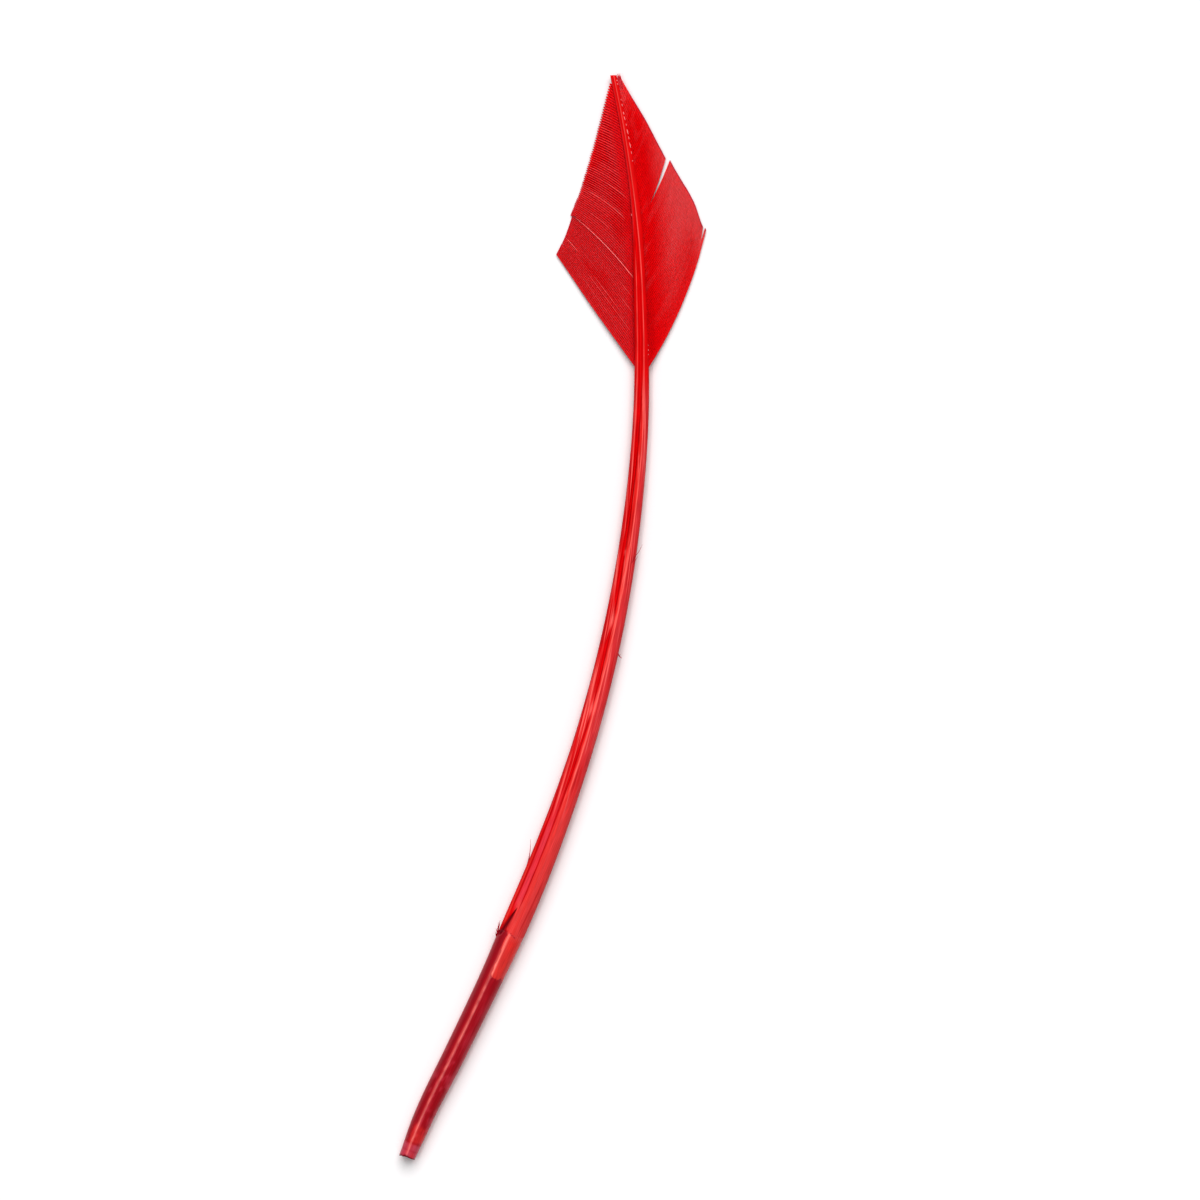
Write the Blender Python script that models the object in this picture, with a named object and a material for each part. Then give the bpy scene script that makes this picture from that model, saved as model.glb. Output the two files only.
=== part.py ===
"""A turkey wing feather, stripped up to a short arrow-shaped head, lying with its grooved side up.

The quill, the shaft and both vanes grew as one piece, so they are one solid.
Every length is in millimetres until MM turns it into metres.
"""
import math

import bmesh
import bpy
import numpy as np
from mathutils import Vector

MM = 0.001

# The shaft's axis, as its bow off the straight line from quill end to tip: (along that line, bow)
BOW = [(0, 0), (12, 2.5), (30, 7.5), (60, 15.3), (90, 21.7), (120, 26.1), (150, 28.0),
       (180, 27.4), (210, 24.3), (240, 18.3), (265, 12.2), (285, 5.1), (297.4, 0)]
SPAN = BOW[-1][0]

# What the bow puts at the middle of the solid's own box, so that the origin is there
ORIGIN = (13.016, 148.724)

# The shaft by distance along it from the quill end: (distance, value)
WIDTH = [(0, 4.3), (8, 5.2), (17, 5.7), (44, 6.2), (54, 6.4), (66, 7.0), (88, 6.8), (105, 6.3),
         (156, 5.4), (189, 4.7), (221, 4.0), (248, 3.4), (270, 2.5), (304, 1.7)]
DEPTH = [(0, 4.3), (8, 5.3), (17, 5.8), (66, 6.5), (105, 5.9), (156, 5.3), (189, 4.7), (226, 4.0),
         (248, 3.1), (270, 2.1), (304, 1.2)]
# A section of power 2 is round and of more is boxier; it is cut flat below this angle in degrees
SQUARENESS = [(0, 2.0), (60, 2.0), (90, 2.5), (304, 2.7)]
FLAT_FROM = 255

# The groove along the upper side starts at the small pit where the quill ends
GROOVE_PLACE = [(0, -0.3), (72, -0.4), (90, -0.24), (125, -0.25), (150, -0.33), (190, -0.34),
                (226, -0.15), (243, -0.09), (270, -0.4), (304, -0.4)]
GROOVE_DEPTH = [(0, 0), (55, 0), (63, 0), (70, 1.2), (76, 0.6), (90, 0.35), (130, 0.3), (150, 0.4),
                (226, 0.45), (270, 0.3), (304, 0.12)]
GROOVE_HALF = 0.24

# The underside lies on the surface from the end of the quill's taper to below the head
QUILL_TAPER = 18.0
QUILL_RISE = 0.8
REST_END = 205.0
HEAD_RISE = 1.2
HEAD_CURVE = 1.7

# The quill's cut end is open
HOLLOW_DEPTH = 9.0
HOLLOW_SHARE = 0.7

# The vanes: the barbs' roots and tips run between these distances along the shaft
LEFT_ROOTS = (223.1, 301.0)
LEFT_TIPS = (256.2, 302.6)
RIGHT_ROOTS = (222.8, 302.0)
RIGHT_TIPS = (261.0, 304.3)
# A barb is rooted inside the shaft, this share of the shaft's width out from its axis
ROOT_OUT = 0.15
# How the tips bunch towards the base end
TIP_BUNCHING = -0.32
# The edge that the tips make: (distance along the shaft, distance out from its axis)
LEFT_EDGE = [(256.2, 22.3), (261.8, 19.45), (268, 17.35), (275, 14.3), (290, 7.4), (297.9, 3.65), (302.6, 1.3)]
RIGHT_EDGE = [(261.0, 18.35), (262.7, 17.35), (264.3, 16.85), (267.3, 16.0), (270.3, 14.75), (273.6, 13.1),
              (279, 10.55), (283.7, 8.6), (290.7, 6.22), (297.7, 3.65), (304.3, 1.5)]
# How far a barb bows out of its straight line, from the lowest barb to the highest
LEFT_BARB_BOW = [(0, 0.35), (0.1, -0.1), (0.4, -0.7), (1, 0)]
RIGHT_BARB_BOW = [(0, 1.8), (0.25, 1.2), (0.5, 0.3), (1, 0)]

# A slit: which barb it follows, how far out it starts, its width at the edge, its reach sideways
RIGHT_SLITS = [(0.025, 0.93, 0.5, 0.03), (0.5, 0.3, 1.1, 0.1)]
LEFT_SLITS = [(0.1, 0.8, 0.35, 0.03)]
# A slit narrows inward by this power, and its sides part this far along the shaft and out
SLIT_TAPER = 1.2
SLIT_ALONG = 0.5
SLIT_OUT = 0.86

# Locks of barbs are raised as ridges, and their tips stand out as teeth
LOCKS = 40
BARB_STEPS = 6
VANE_HALF = 0.17
RIDGE = 0.15
TOOTH = 0.35
VANE_SEAT = 0.5
# The vanes fall from the shaft like a shallow roof, and level out this far from its axis
DROOP = 1.2
DROOP_REACH = 8.0

# The smallest detail kept where the vanes meet the shaft
SPECK = 0.02

RED = (0.62, 0.008, 0.016, 1.0)


def smooth(points, at):
    """A smooth curve through a few points, read at one place or at many."""
    x, y = np.array(points, float).T
    slope = np.gradient(y, x)
    i = np.clip(np.searchsorted(x, at) - 1, 0, len(x) - 2)
    step = x[i + 1] - x[i]
    t = np.clip((at - x[i]) / step, 0, 1)
    ahead = t * t * (3 - 2 * t)
    pull = t * (1 - t) ** 2 * slope[i] - t * t * (1 - t) * slope[i + 1]
    return y[i] + (y[i + 1] - y[i]) * ahead + step * pull


# The axis and the distance along it
AXIS_Y = np.linspace(0, SPAN, 1200)
AXIS_X = smooth(BOW, AXIS_Y)
AXIS_S = np.concatenate([[0], np.cumsum(np.hypot(np.diff(AXIS_X), np.diff(AXIS_Y)))])
LENGTH = float(AXIS_S[-1])


def axis_at(s):
    """The axis point at s, and the direction along it, which runs on straight past the tip."""
    y = np.interp(s, AXIS_S, AXIS_Y)
    ahead = np.array([smooth(BOW, y + 0.5) - smooth(BOW, y - 0.5), 1.0])
    ahead /= np.hypot(*ahead)
    point = np.array([smooth(BOW, y), y]) + ahead * max(0.0, s - LENGTH)
    return point, ahead


def place(s, out, up):
    """The place of a point at s along the shaft, out to its right and up from the surface."""
    point, ahead = axis_at(s)
    x = point[0] + out * ahead[1] - ORIGIN[0]
    y = point[1] - out * ahead[0] - ORIGIN[1]
    return Vector((x, y, up)) * MM


def underside(s):
    """The height of the shaft's underside above the surface that it lies on."""
    if s < QUILL_TAPER:
        return QUILL_RISE * (1 - s / QUILL_TAPER) ** 2
    if s > REST_END:
        return HEAD_RISE * ((s - REST_END) / (LENGTH - REST_END)) ** HEAD_CURVE
    return 0.0


# The shaft
def stations():
    """Distances along the shaft where its section is drawn, closer at the quill end and the pit."""
    ends = [0, 2, 5, 9, 13, QUILL_TAPER]
    quill = np.arange(24, 60, 6)
    pit = np.arange(60, 80, 2.5)
    shaft = np.arange(80, REST_END, 5)
    head = np.arange(REST_END, LENGTH - 2, 4)
    return [*ends, *quill, *pit, *shaft, *head, LENGTH]


def rounded(angle, half, height, power):
    """A point of a section between round and boxy, at an angle in degrees."""
    c, s = math.cos(math.radians(angle)), math.sin(math.radians(angle))
    out = math.copysign(abs(c) ** (2 / power), c) * half
    up = math.copysign(abs(s) ** (2 / power), s) * height / 2
    return out, up


def section(s):
    """The shaft's ring at s, from the right edge over the grooved top and round the flat underside."""
    half = smooth(WIDTH, s) / 2
    height = smooth(DEPTH, s)
    power = smooth(SQUARENESS, s)
    groove = smooth(GROOVE_PLACE, s)
    cut = max(0.0, smooth(GROOVE_DEPTH, s))
    rims = [groove + GROOVE_HALF * k for k in (1, 0, -1)]
    rim_angles = [math.degrees(math.acos(math.copysign(abs(r) ** (power / 2), r))) for r in rims]
    angles = [0, 25, 50, *rim_angles, 155, 180, 205, 230, FLAT_FROM, 285, 310, 335]
    lowest = rounded(FLAT_FROM, half, height, power)[1]
    ring = []
    for angle in angles:
        out, up = rounded(angle, half, height, power)
        if angle == rim_angles[1]:
            up -= cut
        ring.append((out, up - lowest + underside(s)))
    return ring


def shaft_mesh():
    """The quill and shaft, closed at the tip and hollow at the cut end."""
    bm = bmesh.new()
    rings = []
    for s in stations():
        rings.append([bm.verts.new(place(s, out, up)) for out, up in section(s)])
    hollow = []
    for s in (0.0, HOLLOW_DEPTH):
        ring = section(s)
        centre = sum(up for _, up in ring) / len(ring)
        hollow.append([bm.verts.new(place(s, out * HOLLOW_SHARE, centre + (up - centre) * HOLLOW_SHARE))
                       for out, up in ring])
    loops = [*hollow[::-1], *rings]
    count = len(rings[0])
    for near, far in zip(loops, loops[1:]):
        for k in range(count):
            j = (k + 1) % count
            bm.faces.new((near[k], near[j], far[j], far[k]))
    for ring in (loops[0], loops[-1]):
        middle = bm.verts.new(sum((v.co for v in ring), Vector()) / count)
        for k in range(count):
            bm.faces.new((ring[k], ring[(k + 1) % count], middle))
    return bm


# The vanes
def barb_line(t, w, roots, tips, edge, bow):
    """Where barb t, from 0 at the lowest to 1 at the highest, is at w from its root to its tip."""
    tip_s = tips[0] + (tips[1] - tips[0]) * (t + TIP_BUNCHING * t * (1 - t))
    tip_out = smooth(edge, tip_s)
    root_s = roots[0] + (roots[1] - roots[0]) * t
    root_out = ROOT_OUT * smooth(WIDTH, root_s)
    along = tip_s - root_s
    across = tip_out - root_out
    swing = smooth(bow, t) * 4 * w * (1 - w) / math.hypot(along, across)
    return root_s + along * w - across * swing, root_out + across * w + along * swing


def parted(t, w, side_of, slits):
    """How far a slit pushes a barb sideways: up the shaft on one side of it, down on the other."""
    push = 0.0
    for where, start, mouth, reach in slits:
        if w > start:
            way = side_of if abs(t - where) < 1e-6 else math.copysign(1, t - where)
            opening = mouth / 2 * ((w - start) / (1 - start)) ** SLIT_TAPER
            push += way * opening * math.exp(-abs(t - where) / reach)
    return push


def vane_height(s, out):
    """The height of a vane's middle, seated on the shaft's side and falling away from it."""
    seat = underside(s) + VANE_SEAT * smooth(DEPTH, s)
    return seat - DROOP * (1 - math.exp(-out / DROOP_REACH))


def vane_mesh(side, roots, tips, edge, bow, slits):
    """One vane as a closed sheet of ridged locks, split along its slits."""
    bm = bmesh.new()
    columns = 2 * LOCKS
    slits = [(2 * round(where * LOCKS) / columns, *rest) for where, *rest in slits]
    shelf = {}

    def corner(i, j, side_of, face):
        """The vertex of column i and step j, on the upper (1) or lower (-1) face."""
        t, w = i / columns, j / BARB_STEPS
        on_slit = any(abs(t - where) < 1e-6 and w > start for where, start, *_ in slits)
        key = (i, j, side_of if on_slit else 0, face)
        if key not in shelf:
            ridge = i % 2
            s, out = barb_line(t, w, roots, tips, edge, bow)
            if j == BARB_STEPS:
                s += TOOTH * (ridge - 0.5)
                out += TOOTH * (ridge - 0.5)
            push = parted(t, w, side_of, slits)
            s, out = s + push * SLIT_ALONG, out - push * SLIT_OUT
            up = vane_height(s, max(out, 0)) + face * (VANE_HALF + RIDGE * ridge * min(1, 2 * w))
            shelf[key] = bm.verts.new(place(s, side * out, up))
        return shelf[key]

    def quad(a, b, c, d):
        if side > 0:
            a, b, c, d = d, c, b, a
        bm.faces.new((a, b, c, d))

    for i in range(columns):
        for j in range(BARB_STEPS):
            square = ((i, j, 1), (i + 1, j, -1), (i + 1, j + 1, -1), (i, j + 1, 1))
            top = [corner(*c, 1) for c in square]
            bottom = [corner(*c, -1) for c in square]
            quad(*top)
            quad(*bottom[::-1])
    close_rims(bm, shelf)
    return bm


def close_rims(bm, shelf):
    """Joins the upper face's open edges to the lower face's."""
    below = {vert: shelf[(*key[:3], -1)] for key, vert in shelf.items() if key[3] == 1}
    rims = [e for e in bm.edges if e.is_boundary and e.verts[0] in below and e.verts[1] in below]
    for rim in rims:
        loop = rim.link_loops[0]
        first, second = loop.vert, loop.link_loop_next.vert
        bm.faces.new((second, first, below[first], below[second]))


# The feather
def as_object(name, bm):
    bmesh.ops.triangulate(bm, faces=bm.faces)
    bmesh.ops.recalc_face_normals(bm, faces=bm.faces)
    mesh = bpy.data.meshes.new(name)
    bm.to_mesh(mesh)
    bm.free()
    obj = bpy.data.objects.new(name, mesh)
    bpy.context.scene.collection.objects.link(obj)
    return obj


def fuse(body, other):
    """Joins the other solid to the body and takes it out of the scene."""
    join = body.modifiers.new("Join", "BOOLEAN")
    join.operation = "UNION"
    join.object = other
    graph = bpy.context.evaluated_depsgraph_get()
    fused = bpy.data.meshes.new_from_object(body.evaluated_get(graph))
    body.modifiers.remove(join)
    body.data = fused
    bpy.data.objects.remove(other)


def drop_slivers(mesh):
    """Merges the points that the joining left closer together than a speck."""
    bm = bmesh.new()
    bm.from_mesh(mesh)
    bmesh.ops.triangulate(bm, faces=bm.faces)
    bmesh.ops.remove_doubles(bm, verts=bm.verts, dist=SPECK * MM)
    bmesh.ops.dissolve_degenerate(bm, dist=SPECK * MM / 4, edges=bm.edges)
    bmesh.ops.triangulate(bm, faces=bm.faces)
    bm.to_mesh(mesh)
    bm.free()


def dyed_red():
    material = bpy.data.materials.new("Dyed feather")
    material.use_nodes = True
    shader = material.node_tree.nodes["Principled BSDF"]
    shader.inputs["Base Color"].default_value = RED
    shader.inputs["Roughness"].default_value = 0.45
    shader.inputs["Metallic"].default_value = 0.0
    return material


def build():
    for obj in list(bpy.data.objects):
        bpy.data.objects.remove(obj)
    feather = as_object("feather", shaft_mesh())
    left = as_object("left_vane", vane_mesh(-1, LEFT_ROOTS, LEFT_TIPS, LEFT_EDGE, LEFT_BARB_BOW, LEFT_SLITS))
    right = as_object("right_vane", vane_mesh(1, RIGHT_ROOTS, RIGHT_TIPS, RIGHT_EDGE, RIGHT_BARB_BOW,
                                              RIGHT_SLITS))
    fuse(feather, left)
    fuse(feather, right)
    drop_slivers(feather.data)
    feather.data.materials.clear()
    feather.data.materials.append(dyed_red())
    feather.data.shade_smooth()
    feather.data.set_sharp_from_angle(angle=math.radians(40))


build()
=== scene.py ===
"""Looks of a dyed turkey wing feather, stripped up to a short arrow-shaped head.

The shaft, the barbs of both vanes and the stray hairs are meshes worked out from a few curves.
Lengths are in millimetres until place() turns them into the frame's metres.
"""
import math

import bpy
import numpy as np
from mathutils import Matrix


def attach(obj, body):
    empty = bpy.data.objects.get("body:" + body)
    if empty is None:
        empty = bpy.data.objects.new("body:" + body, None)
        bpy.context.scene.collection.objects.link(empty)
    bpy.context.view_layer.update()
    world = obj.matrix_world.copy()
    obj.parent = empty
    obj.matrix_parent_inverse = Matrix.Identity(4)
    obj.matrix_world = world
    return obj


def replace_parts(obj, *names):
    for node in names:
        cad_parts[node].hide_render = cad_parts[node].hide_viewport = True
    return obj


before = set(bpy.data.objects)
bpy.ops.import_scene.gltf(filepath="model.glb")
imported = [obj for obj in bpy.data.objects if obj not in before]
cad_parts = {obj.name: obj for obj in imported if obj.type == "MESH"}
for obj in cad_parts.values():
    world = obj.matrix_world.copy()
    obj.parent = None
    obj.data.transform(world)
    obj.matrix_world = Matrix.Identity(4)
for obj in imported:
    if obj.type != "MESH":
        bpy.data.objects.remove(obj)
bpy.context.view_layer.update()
NODE = "feather"
MM = 0.001
# Random wandering repeats after this many changes
GRAIN_CELLS = 128

# The shaft's axis, as its bow off the straight line from quill end to tip: (along that line, bow)
BOW = [(0, 0), (12, 2.5), (30, 7.5), (60, 15.3), (90, 21.7), (120, 26.1), (150, 28.0),
       (180, 27.4), (210, 24.3), (240, 18.3), (265, 12.2), (285, 5.1), (297.4, 0)]
SPAN = BOW[-1][0]
ORIGIN = (13.016, 148.724)
# The bow's lean is read over this much to either side
LEAN_REACH = 0.5

# The shaft by distance along it from the quill end: (distance, value)
WIDTH = [(0, 4.3), (8, 5.2), (17, 5.7), (44, 6.2), (54, 6.4), (66, 7.0), (88, 6.8), (105, 6.3),
         (156, 5.4), (189, 4.7), (221, 4.0), (248, 3.4), (270, 2.5), (304, 1.7)]
DEPTH = [(0, 4.3), (8, 5.3), (17, 5.8), (66, 6.5), (105, 5.9), (156, 5.3), (189, 4.7), (226, 4.0),
         (248, 3.1), (270, 2.1), (304, 1.2)]
SQUARENESS = [(0, 2.0), (60, 2.0), (90, 2.5), (304, 2.7)]
# The section is cut flat on its underside, below this angle from its side
FLAT_ANGLE = math.radians(75)
QUILL_TAPER = 18.0
QUILL_RISE = 0.8
REST_END = 205.0
HEAD_RISE = 1.2
HEAD_CURVE = 1.7

# The vanes: the barbs' roots and tips run between these distances along the shaft
LEFT_ROOTS = (223.1, 301.0)
LEFT_TIPS = (256.2, 302.6)
RIGHT_ROOTS = (222.8, 302.0)
RIGHT_TIPS = (261.0, 304.3)
TIP_BUNCHING = -0.32
# A barb is rooted inside the shaft, this share of the shaft's width out from its axis
ROOT_OUT = 0.15
LEFT_EDGE = [(256.2, 22.3), (261.8, 19.45), (268, 17.35), (275, 14.3), (290, 7.4), (297.9, 3.65),
             (302.6, 1.3)]
RIGHT_EDGE = [(261.0, 18.35), (262.7, 17.35), (264.3, 16.85), (267.3, 16.0), (270.3, 14.75),
              (273.6, 13.1), (279, 10.55), (283.7, 8.6), (290.7, 6.22), (297.7, 3.65), (304.3, 1.5)]
LEFT_BARB_BOW = [(0, 0.35), (0.1, -0.1), (0.4, -0.7), (1, 0)]
RIGHT_BARB_BOW = [(0, 1.8), (0.25, 1.2), (0.5, 0.3), (1, 0)]
# A split's sides part this far along the shaft and out
SPLIT_ALONG = 0.5
SPLIT_OUT = 0.86
VANE_SEAT = 0.5
DROOP = 1.2
DROOP_REACH = 8.0

# The dye's colours, as it lies thin or thick, and the colours of the painted shade and painted highlights
# laid with it
BRIGHT = (0.64, 0.001, 0.005)
GLOWING = (0.64, 0.002, 0.004)
ORANGE = (0.70, 0.046, 0.034)
SALMON = (0.68, 0.080, 0.075)
LIGHT = (0.86, 0.18, 0.16)
PINK = (0.59, 0.056, 0.066)
MAUVE = (0.60, 0.06, 0.10)
DEEP = (0.37, 0.0, 0.005)
CRIMSON = (0.355, 0.0, 0.013)
DARK = (0.17, 0.0, 0.010)
# Painted shade on the shaft's underside and along the edges of its sides
SHADED = (0.55, 0.0, 0.006)
# Painted shade along the vanes' edges
RIM_SHADE = (0.30, 0.03, 0.07)
FLESH = (0.66, 0.06, 0.085)
# A painted highlight: the glint on the quill and along the sheath
PAINTED_GLINT = (0.86, 0.22, 0.18)
WASHED = (0.52, 0.075, 0.12)
SHEATH_DYE = (0.66, 0.048, 0.040)
# The left vane's furrows, painted shade between its barbs, its barbs, the plain strip beside the shaft,
# and a crack's painted highlight and painted shade
FURROW_SHADE = (0.48, 0.0, 0.006)
BARB = (0.95, 0.10, 0.11)
FOOT = (0.72, 0.010, 0.018)
# A crack's painted highlight, and the painted shade beside it
CRACK_GLINT = (1.0, 0.19, 0.19)
CRACK_SHADE = (0.33, 0.0, 0.002)
# The right vane's dye, its painted sheen, painted light at its foot, and its streaks
SILK = (0.73, 0.0, 0.004)
# Painted light for the vane's foot beside the shaft
FOOT_LIGHT = (0.86, 0.0, 0.004)
SHEEN = (0.77, 0.083, 0.088)
STREAK = (0.76, 0.05, 0.055)


def smooth(points, at):
    """A smooth curve through a few points, read at one place or at many."""
    x, y = np.array(points, float).T
    slope = np.gradient(y, x)
    i = np.clip(np.searchsorted(x, at) - 1, 0, len(x) - 2)
    step = x[i + 1] - x[i]
    t = np.clip((at - x[i]) / step, 0, 1)
    ahead = t * t * (3 - 2 * t)
    pull = t * (1 - t) ** 2 * slope[i] - t * t * (1 - t) * slope[i + 1]
    return y[i] + (y[i + 1] - y[i]) * ahead + step * pull


def ease(low, high, at):
    """Rises smoothly from 0 at low to 1 at high."""
    t = np.clip((at - low) / (high - low), 0, 1)
    return t * t * (3 - 2 * t)


def fade(low, high, at):
    """Falls smoothly from 1 at low to 0 at high."""
    return 1 - ease(low, high, at)


def band(at, low, high, soft):
    """1 between low and high, with soft ends."""
    return ease(low - soft, low + soft, at) * fade(high - soft, high + soft, at)


def stretch(at, start, end):
    """1 along a stretch, which sets in over its start and fades out over its end."""
    return ease(*start, at) * fade(*end, at)


def hump(at, middle, reach):
    """A smooth bump of height 1."""
    return np.exp(-((at - middle) / reach) ** 2)


def bent(value, power):
    """The power of a value's size, with the value's own sign."""
    return np.sign(value) * np.abs(value) ** power


def grain(a, b, seed):
    """Smooth random wandering from -1 to 1 over two directions, one change per unit, by its seed."""
    n = GRAIN_CELLS
    draws = np.random.default_rng(seed).uniform(-1, 1, (n, n))
    a, b = np.broadcast_arrays(np.asarray(a, float), b)
    i = np.floor(a).astype(int)
    j = np.floor(b).astype(int)
    u = ease(0, 1, a - i)
    v = ease(0, 1, b - j)
    low = draws[i % n, j % n] * (1 - u) + draws[(i + 1) % n, j % n] * u
    high = draws[i % n, (j + 1) % n] * (1 - u) + draws[(i + 1) % n, (j + 1) % n] * u
    return low * (1 - v) + high * v


def patches(s, x):
    """Soft patches of thicker and thinner dye along the shaft."""
    return grain(s / 4, x * 2.2, 31)


def dye_over(dye, color, share):
    """Lays a colour over those already there, by its share at each place."""
    return dye + (np.array(color) - dye) * np.clip(share, 0, 1)[..., None]


# The axis and the distance along it
AXIS_Y = np.linspace(0, SPAN, 1200)
AXIS_X = smooth(BOW, AXIS_Y)
AXIS_S = np.concatenate([[0], np.cumsum(np.hypot(np.diff(AXIS_X), np.diff(AXIS_Y)))])
LENGTH = float(AXIS_S[-1])


def place(s, out, up):
    """Points in metres at s along the shaft, out to its right and up from the surface."""
    s, out, up = np.broadcast_arrays(np.asarray(s, float), out, up)
    y = np.interp(s, AXIS_S, AXIS_Y)
    lean = (smooth(BOW, y + LEAN_REACH) - smooth(BOW, y - LEAN_REACH)) / (2 * LEAN_REACH)
    size = np.hypot(lean, 1)
    past = np.maximum(0, s - LENGTH) + np.minimum(0, s)
    px = smooth(BOW, y) + (lean * past + out) / size - ORIGIN[0]
    py = y + (past - out * lean) / size - ORIGIN[1]
    return np.stack([px, py, up], -1) * MM


def underside(s):
    """The height of the shaft's underside above the surface that it lies on."""
    quill = QUILL_RISE * np.clip(1 - s / QUILL_TAPER, 0, 1) ** 2
    head = HEAD_RISE * np.clip((s - REST_END) / (LENGTH - REST_END), 0, 2) ** HEAD_CURVE
    return quill + head


def middle_height(s):
    """How far the middle of the shaft's section stands above its flat underside."""
    return math.sin(FLAT_ANGLE) ** (2 / smooth(SQUARENESS, s)) * smooth(DEPTH, s) / 2


def upper_side(s, x):
    """The height of the shaft's plain upper side, at x as a share of its half width."""
    power = smooth(SQUARENESS, s)
    rise = np.clip(1 - np.abs(x) ** power, 0, 1) ** (1 / power)
    return underside(s) + middle_height(s) + rise * smooth(DEPTH, s) / 2


def add_object(name, data):
    """A new object in the scene."""
    thing = bpy.data.objects.new(name, data)
    bpy.context.scene.collection.objects.link(thing)
    return thing


# Meshes from arrays
def as_piece(name, points, faces, material, dye=None, marks=None):
    """A mesh object from arrays, with a dye colour and some named numbers at its points."""
    mesh = bpy.data.meshes.new(name)
    mesh.from_pydata(points.reshape(-1, 3).tolist(), [], faces)
    if dye is not None:
        layer = mesh.attributes.new("dye", "FLOAT_COLOR", "POINT")
        full = np.concatenate([dye, np.ones((*dye.shape[:-1], 1))], -1)
        layer.data.foreach_set("color", full.astype(np.float32).ravel())
    for mark, values in (marks or {}).items():
        layer = mesh.attributes.new(mark, "FLOAT", "POINT")
        layer.data.foreach_set("value", values.astype(np.float32).ravel())
    mesh.update()
    mesh.shade_smooth()
    mesh.materials.append(material)
    piece = add_object(name, mesh)
    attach(piece, "root")
    return piece


def tube_faces(rings, sides, first=0):
    """Quads that join rings of points one after another."""
    i = np.arange(rings - 1)[:, None]
    k = np.arange(sides)[None, :]
    a = first + i * sides + k
    b = first + i * sides + (k + 1) % sides
    return np.stack([b, a, a + sides, b + sides], -1).reshape(-1, 4)


def end_faces(rings, sides, first=0):
    """The two flat faces that close a tube."""
    last = first + (rings - 1) * sides
    return [list(range(first, first + sides)), list(range(last + sides - 1, last - 1, -1))]


# The shaft's upper side: two ridges with a groove between them, as (distance along it, value).
# Places and reaches are shares of the half width, heights and depths are in millimetres.
GROOVE_PLACE = [(0, -0.3), (76, -0.25), (97, -0.21), (110, -0.25), (120, -0.26), (131, -0.2),
                (140, -0.26), (150, -0.33), (156, -0.2), (162, -0.33), (190, -0.33), (205, -0.29),
                (226, -0.15), (243, -0.1), (260, -0.35), (275, -0.5), (304, -0.4)]
GROOVE_REACH = [(0, 0.05), (97, 0.05), (112, 0.07), (120, 0.08), (127, 0.04), (131, 0.02), (138, 0.08),
                (149, 0.14), (155, 0.05), (156.5, 0.02), (162, 0.12), (190, 0.14), (226, 0.2),
                (243, 0.2), (260, 0.22), (304, 0.25)]
GROOVE_DEPTH = [(0, 0), (68, 0), (78, 0.16), (97, 0.25), (110, 0.3), (126, 0.1), (131, 0.05), (138, 0.3),
                (150, 0.4), (156, 0.1), (162, 0.4), (226, 0.45), (250, 0.4), (275, 0.25), (304, 0.1)]
LEFT_RIDGE = [(0, -0.82), (100, -0.84), (130, -0.8), (200, -0.72), (222, -0.64), (235, -0.56),
              (250, -0.53), (258, -0.62), (266, -0.88), (304, -0.85)]
RIGHT_RIDGE = [(0, 0.1), (112, 0.1), (150, 0.1), (165, 0.17), (190, 0.3), (213, 0.33), (222, 0.29),
               (238, 0.37), (250, 0.33), (258, 0.17), (266, -0.05), (277.8, -0.16), (286.4, -0.08),
               (294.6, 0.0), (304, 0.08)]
RIDGE_HEIGHT = [(0, 0), (68, 0), (80, 0.04), (110, 0.07), (200, 0.12), (250, 0.13), (304, 0.08)]
RIDGE_REACH = 0.065
# The torn barbs' streaks lean across the shaft this much
BARB_LEAN = 0.035
FLANK_LEAN = 0.045
# Where the quill goes over into the bare shaft, and the bare shaft into the head
BARE_START = (64.6, 65.4)
HEAD_START = (214, 224)
# Stretches of the shaft: where each sets in, and where it fades out
BARE = (BARE_START, (219, 228))
PALE_START = (BARE_START, (96, 116))
CREASE = ((67, 70), (80, 86))
ORANGE_LINE = ((67, 70), (84, 96))
SUNKEN_FLOOR = ((72, 78), (90, 104))
MAUVE_FLOOR = ((72, 76), (96, 112))
OUTER_RIM = ((84, 92), (218, 226))
STRIPPED = ((96, 108), HEAD_START)
LINED = ((98, 112), (216, 226))
GROOVE_EDGE = ((96, 112), (226, 250))
GROOVE_BRIGHT = ((100, 112), (226, 240))
LEFT_RIDGE_LINE = ((196, 212), (250, 258))
TIP_LINE = ((262, 275), (298, 303))
# Scars beside the groove: (distance along the shaft, across it, half length, half width, strength)
SCARS = [(131, -0.24, 2.0, 0.14, 0.75), (155.6, -0.3, 1.8, 0.17, 0.75), (174.5, -0.24, 0.7, 0.1, 0.6)]
# The flat floor left of the groove near the quill, and the pit where the quill ends
FLOOR_EDGES = (-0.66, -0.24)
FLOOR_SOFT = 0.06
FLOOR_DEPTH = 0.35
PIT_START = (64.6, -0.9)
PIT_END = (74.2, -0.36)
PIT_WIDE = 0.22
PIT_DEPTH = 0.6
# The sheath left around the quill
SHEATH = (54.0, 65.8)
SHEATH_LEFT = -0.2
SHEATH_THICKNESS = 0.09
# How the shaft's mesh is divided, and its cut hollow end
FINE_RUNS = [(0, 12), (52, 76)]
FINE_STEP = 0.3
COARSE_RUNS = [(12, 52), (76, LENGTH)]
COARSE_STEP = 0.7
UPPER_POINTS = 134
LOWER_POINTS = 24
HOLLOW_DEPTH = 9.0
HOLLOW_SHARE = 0.78
HOLLOW_SHADE = 0.5
HOLLOW_RINGS = 2
RAGGED = 0.3
RAGGED_REACH = 1.5
# The quill and its sheath are glossy up to here, the rest is silky
GLOSS_END = 66.3


def sheath_top(x):
    """How far along the shaft the sheath's ragged upper end is."""
    return SHEATH[1] + 0.5 * grain(x * 7, 0, 13)


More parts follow.
